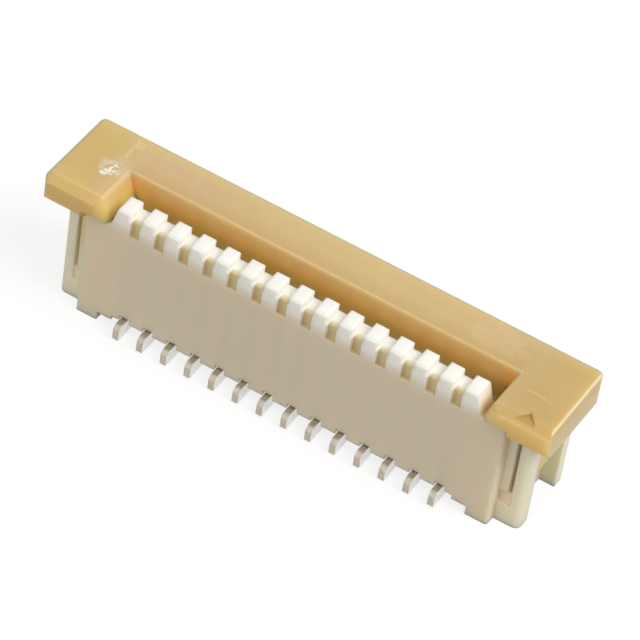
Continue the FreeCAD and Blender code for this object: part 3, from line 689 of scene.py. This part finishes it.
# Lumps of the torn gate in millimetres: middle, half sizes across and back, and height above the dish's floor
GATE_LUMPS = (
    ((-8.60, -0.27), (0.15, 0.08), 0.052),
    ((-8.54, -0.08), (0.08, 0.10), 0.052),
    ((-8.46, 0.13), (0.12, 0.07), 0.050),
    ((-8.38, -0.14), (0.07, 0.12), 0.044),
    ((-8.50, -0.20), (0.10, 0.06), 0.046),
    ((-8.53, -0.05), (0.21, 0.21), 0.018),
)
# How much the lumps swell, how fine their swelling is, and how far apart in the noise two lumps lie
LUMP_SWELL = 0.8
LUMP_FINENESS = 1.7
LUMP_SPREAD = 7.0
# How far the stub stays under the lock's top, and how far it sinks into the dish's floor
STUB_BELOW_TOP = 0.003
STUB_SINK = 0.01
# Dish of the gate: its middle, the modelled depth and the one that shows, the reach within which its floor is
# looked for, and how much that floor shrinks
GATE_MIDDLE = (-8.53, -0.05)
GATE_DISH_DEPTH = 0.08
SHOWN_DISH_DEPTH = 0.05
DISH_REACH = 0.4
DISH_SHRINK = 0.6
# Grooves in the front wall: depth and floor of the modelled ones, and of the shallow ones that show
GROOVE_DEPTH = 0.4
GROOVE_FLOOR = 4.79
SHOWN_DEPTH = 0.13
SHOWN_FLOOR = 4.66
# Inner front corner of a lock arm at its foot, and the lean of its side towards the arm
ARM_CORNER = (7.55, -1.80, 4.77)
ARM_LEAN = 0.337
# Rounding of that corner that shows, the smaller one under its foot, and the flats that make them
ARM_ROUND = 0.48
FOOT_ROUND = 0.22
ARM_STEPS = 8
FOOT_DIPS = (30.0, 60.0)
# The cuts stay out past this place across, above this height and in front of this line behind the corner
ARM_SIDE = 7.4
ARM_LOW = 4.6
ARM_BACK = -0.60
# How near to a plane a corner is on it, in a cut and when corners are looked up, and how far out is beyond it
ON_CUT = 0.00001
NEAR = 0.002
BEYOND = 0.0005
# How near two corners merge, and the turn in degrees up to which faces count as one flat face
MERGE = 0.0001
FLAT_TURN = 1.0


def paint(obj, material):
    """Give a CAD node one material."""
    obj.data.materials.clear()
    obj.data.materials.append(material)


def moulded_shape(node):
    """Merged copy of a CAD node in millimetres, with its flat faces whole again."""
    shape = bmesh.new()
    shape.from_mesh(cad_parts[node].data)
    bmesh.ops.scale(shape, vec=(1.0 / MM, 1.0 / MM, 1.0 / MM), verts=shape.verts)
    bmesh.ops.remove_doubles(shape, verts=shape.verts, dist=MERGE)
    bmesh.ops.dissolve_limit(shape, angle_limit=math.radians(FLAT_TURN), verts=shape.verts, edges=shape.edges)
    return shape


def shave(shape, side, normal, reach):
    """Cut off what lies beyond a plane on one arm of the lock, and close the cut."""
    normal = Vector(normal)
    faces = [face for face in shape.faces
             if all(vert.co.x * side > ARM_SIDE and vert.co.z > ARM_LOW and vert.co.y < ARM_BACK + NEAR
                    for vert in face.verts)
             and any(normal.dot(vert.co) > reach + BEYOND for vert in face.verts)]
    if not faces:
        return
    edges = dict.fromkeys(edge for face in faces for edge in face.edges)
    verts = dict.fromkeys(vert for face in faces for vert in face.verts)
    cut = bmesh.ops.bisect_plane(shape, geom=[*verts, *edges, *faces], dist=ON_CUT, plane_co=normal * reach,
                                 plane_no=normal, clear_outer=True)["geom_cut"]
    rim = [part for part in cut if isinstance(part, bmesh.types.BMEdge) and part.is_boundary]
    bmesh.ops.holes_fill(shape, edges=rim, sides=0)


def round_arm(shape, side):
    """Give the inner front corner of a lock arm the large rounding that shows."""
    across, front, foot = ARM_CORNER
    slope = Vector((-side, 0.0, ARM_LEAN)).normalized()
    ahead = Vector((0.0, -1.0, 0.0))
    corner = Vector((across * side, front, foot))
    middle = corner - (slope + ahead) * ARM_ROUND
    for step in range(1, ARM_STEPS):
        turn = math.radians(90.0) * step / ARM_STEPS
        level = slope * math.cos(turn) + ahead * math.sin(turn)
        shave(shape, side, level, level.dot(middle) + ARM_ROUND)
        # The same rounding runs under the foot of the corner
        for dip in FOOT_DIPS:
            tilt = math.radians(dip)
            under = level * math.cos(tilt) + Vector((0.0, 0.0, -math.sin(tilt)))
            low = middle + level * (ARM_ROUND - FOOT_ROUND) + Vector((0.0, 0.0, FOOT_ROUND))
            shave(shape, side, under, under.dot(low) + FOOT_ROUND)


def new_piece(name, shape, material, body, smooth=True):
    """Turn a bmesh in millimetres into a piece that rides on a body."""
    bmesh.ops.scale(shape, vec=(MM, MM, MM), verts=shape.verts)
    bmesh.ops.recalc_face_normals(shape, faces=shape.faces)
    mesh = bpy.data.meshes.new(name)
    shape.to_mesh(mesh)
    shape.free()
    for face in mesh.polygons:
        face.use_smooth = smooth
    mesh.materials.append(material)
    piece = bpy.data.objects.new(name, mesh)
    bpy.context.scene.collection.objects.link(piece)
    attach(piece, body)
    return piece


class CONNECTOR_OT_housing(bpy.types.Operator):
    """Finish the off-white moulded housing"""

    bl_idname = "connector.housing"
    bl_label = "Housing"

    def execute(self, context):
        shape = moulded_shape("housing")
        # The grooves under the gaps between the teeth look shallower and run a little lower than modelled
        back = FRONT_FACE + GROOVE_DEPTH
        inner = [vert for vert in shape.verts
                 if abs(vert.co.y - back) < NEAR and vert.co.z > GROOVE_FLOOR - NEAR]
        foot = [vert for vert in shape.verts
                if abs(vert.co.z - GROOVE_FLOOR) < NEAR and vert.co.y < back + NEAR]
        corners = 4 * len(CONTACTS)
        if (len(inner), len(foot)) != (corners, corners):
            raise RuntimeError(f"{len(inner)} and {len(foot)} corners found at the grooves")
        bmesh.ops.translate(shape, verts=inner, vec=(0.0, SHOWN_DEPTH - GROOVE_DEPTH, 0.0))
        bmesh.ops.translate(shape, verts=foot, vec=(0.0, 0.0, SHOWN_FLOOR - GROOVE_FLOOR))
        material = housing_plastic(context.scene.connector_housing)
        piece = new_piece("housing_shell", shape, material, "base", smooth=False)
        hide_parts("housing")
        return {"FINISHED"}


class CONNECTOR_OT_lock(bpy.types.Operator):
    """Finish the tan slide lock"""

    bl_idname = "connector.lock"
    bl_label = "Slide lock"

    def execute(self, context):
        shape = moulded_shape("slider")
        # A line across the faces behind the corners keeps the cuts to the arms
        bmesh.ops.bisect_plane(shape, geom=[*shape.verts, *shape.edges, *shape.faces], dist=ON_CUT,
                               plane_co=(0.0, ARM_BACK, 0.0), plane_no=(0.0, 1.0, 0.0))
        for side in (-1, 1):
            round_arm(shape, side)
        # The gate's dish shows as a shallow crater without a sharp rim
        middle = Vector(GATE_MIDDLE)
        floor = [vert for vert in shape.verts if abs(vert.co.z - LOCK_TOP + GATE_DISH_DEPTH) < NEAR
                 and (vert.co.xy - middle).length < DISH_REACH]
        if not floor:
            raise RuntimeError("no dish floor found at the gate")
        for vert in floor:
            vert.co.xy = middle + (vert.co.xy - middle) * DISH_SHRINK
            vert.co.z = LOCK_TOP - SHOWN_DISH_DEPTH
        if any(not edge.is_manifold for edge in shape.edges):
            raise RuntimeError("the rounded lock isn't closed")
        material = lock_plastic(context.scene.connector_lock)
        piece = new_piece("lock_shell", shape, material, "lock", smooth=False)
        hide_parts("slider")
        return {"FINISHED"}


class CONNECTOR_OT_gate(bpy.types.Operator):
    """Add the torn stub of the gate in its dish on the lock"""

    bl_idname = "connector.gate"
    bl_label = "Gate stub"

    def execute(self, context):
        floor = LOCK_TOP - SHOWN_DISH_DEPTH
        shape = bmesh.new()
        for (across, back), (half_across, half_back), height in GATE_LUMPS:
            lump = bmesh.ops.create_icosphere(shape, subdivisions=4, radius=1.0)["verts"]
            for vert in lump:
                place = vert.co * LUMP_FINENESS + Vector((across, back, 0.0)) * LUMP_SPREAD
                swell = 1.0 + LUMP_SWELL * ripple.noise(place)
                vert.co = vert.co * swell
                vert.co.x = across + half_across * vert.co.x
                vert.co.y = back + half_back * vert.co.y
                # The stub stays under the lock's top, and is flattened just under the dish's floor
                peak = min(floor + height * vert.co.z, LOCK_TOP - STUB_BELOW_TOP)
                vert.co.z = max(peak, floor - STUB_SINK)
        new_piece("gate_stub", shape, torn_plastic(), "lock")
        return {"FINISHED"}


class CONNECTOR_OT_contacts(bpy.types.Operator):
    """Finish the row of stamped contacts"""

    bl_idname = "connector.contacts"
    bl_label = "Contacts"

    def execute(self, context):
        metal = tinned_metal(context.scene.connector_contacts)
        if not CONTACTS:
            raise RuntimeError("the frame has no contacts")
        for name in CONTACTS:
            paint(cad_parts[name], metal)
        return {"FINISHED"}


# Stage

WHITE = (1.0, 1.0, 1.0, 1.0)
# Floor: half its width and its drop below the board's plane in metres, its colour, and how bright it looks
FLOOR_REACH = 1.5
FLOOR_DROP = 0.002 * MM
FLOOR_GREY = (0.22, 0.22, 0.22, 1.0)
FLOOR_GLOW = 0.80
# Lamps: place and size in metres, and colour
KEY_LAMP = ((0.285, 0.0, 0.345), 0.24, (1.0, 0.99, 0.97))
FILL_LAMP = ((-0.02, -0.14, 0.04), 0.08, (1.0, 0.93, 0.84))
# Camera: width of its sensor in millimetres, and the nearest and furthest that it sees, in metres
SENSOR_WIDTH = 36.0
NEAREST = 0.001
FURTHEST = 10.0


class CONNECTOR_OT_stage(bpy.types.Operator):
    """Set the pale floor, the lamps, the sky and the camera"""

    bl_idname = "connector.stage"
    bl_label = "Stage"

    def floor(self):
        shape = bmesh.new()
        bmesh.ops.create_grid(shape, x_segments=1, y_segments=1, size=FLOOR_REACH)
        bmesh.ops.translate(shape, verts=shape.verts, vec=(0.0, 0.0, -FLOOR_DROP))
        mesh = bpy.data.meshes.new("floor")
        shape.to_mesh(mesh)
        shape.free()
        floor = bpy.data.objects.new("floor", mesh)
        bpy.context.scene.collection.objects.link(floor)
        material = bpy.data.materials.new("pale_floor")
        material.use_nodes = True
        tree = material.node_tree
        tree.nodes.clear()
        diffuse = add_node(tree, "ShaderNodeBsdfDiffuse")
        diffuse.inputs["Color"].default_value = FLOOR_GREY
        glow = add_node(tree, "ShaderNodeEmission")
        glow.inputs["Color"].default_value = WHITE
        both = add_node(tree, "ShaderNodeAddShader")
        feed(tree, glow, "Strength", arithmetic(tree, "MULTIPLY", looked_at(tree), FLOOR_GLOW))
        output = add_node(tree, "ShaderNodeOutputMaterial")
        tree.links.new(diffuse.outputs[0], both.inputs[0])
        tree.links.new(glow.outputs[0], both.inputs[1])
        tree.links.new(both.outputs[0], output.inputs["Surface"])
        mesh.materials.append(material)

    def sky(self, level):
        world = bpy.data.worlds.new("studio")
        world.use_nodes = True
        tree = world.node_tree
        tree.nodes.clear()
        background = add_node(tree, "ShaderNodeBackground")
        background.inputs["Color"].default_value = WHITE
        feed(tree, background, "Strength", between(tree, looked_at(tree), 0.0, 1.0, level, 1.0, smooth=False))
        output = add_node(tree, "ShaderNodeOutputWorld")
        tree.links.new(background.outputs[0], output.inputs["Surface"])
        bpy.context.scene.world = world

    def lamp(self, name, level, where, size, colour):
        """Square lamp that lights a surface facing it at the part to the given level."""
        data = bpy.data.lights.new(name, "AREA")
        data.shape = "SQUARE"
        data.size = size
        distance = Vector(where).length
        data.energy = level * (math.pi * distance) ** 2
        data.color = colour
        lamp = bpy.data.objects.new(name, data)
        lamp.location = where
        lamp.rotation_euler = Vector(where).to_track_quat("Z", "Y").to_euler()
        bpy.context.scene.collection.objects.link(lamp)

    def execute(self, context):
        scene = context.scene
        settings = scene.connector_stage
        self.floor()
        self.sky(settings.sky)
        self.lamp("key", settings.key, *KEY_LAMP)
        self.lamp("fill", settings.fill, *FILL_LAMP)
        data = bpy.data.cameras.new("camera")
        data.lens = settings.lens
        data.sensor_width = SENSOR_WIDTH
        data.clip_start = NEAREST
        data.clip_end = FURTHEST
        camera = bpy.data.objects.new("camera", data)
        camera.location = settings.eye
        camera.rotation_euler = Euler(settings.turn, "XYZ")
        scene.collection.objects.link(camera)
        scene.camera = camera
        scene.view_settings.view_transform = "Standard"
        return {"FINISHED"}


class CONNECTOR_PT_panel(bpy.types.Panel):
    """Lists the steps that finish the connector"""

    bl_idname = "CONNECTOR_PT_panel"
    bl_label = "Flat cable connector"
    bl_space_type = "VIEW_3D"
    bl_region_type = "UI"
    bl_category = "Connector"

    def draw(self, context):
        for settings, operator in STEPS:
            box = self.layout.box()
            group = getattr(context.scene, settings)
            for name in group.__annotations__:
                box.prop(group, name)
            box.operator(operator)


STEPS = (
    ("connector_housing", "connector.housing"),
    ("connector_lock", "connector.lock"),
    ("connector_lock", "connector.gate"),
    ("connector_contacts", "connector.contacts"),
    ("connector_stage", "connector.stage"),
)
GROUPS = {
    "connector_housing": HousingSettings,
    "connector_lock": LockSettings,
    "connector_contacts": ContactSettings,
    "connector_stage": StageSettings,
}
CLASSES = (
    CONNECTOR_OT_housing,
    CONNECTOR_OT_lock,
    CONNECTOR_OT_gate,
    CONNECTOR_OT_contacts,
    CONNECTOR_OT_stage,
    CONNECTOR_PT_panel,
)


def register():
    for name, group in GROUPS.items():
        bpy.utils.register_class(group)
        setattr(bpy.types.Scene, name, bpy.props.PointerProperty(type=group))
    for kind in CLASSES:
        bpy.utils.register_class(kind)


def unregister():
    for kind in reversed(CLASSES):
        bpy.utils.unregister_class(kind)
    for name, group in GROUPS.items():
        delattr(bpy.types.Scene, name)
        bpy.utils.unregister_class(group)


def main():
    register()
    bpy.ops.connector.housing()
    bpy.ops.connector.lock()
    bpy.ops.connector.gate()
    bpy.ops.connector.contacts()
    bpy.ops.connector.stage()


if __name__ == "__main__":
    main()
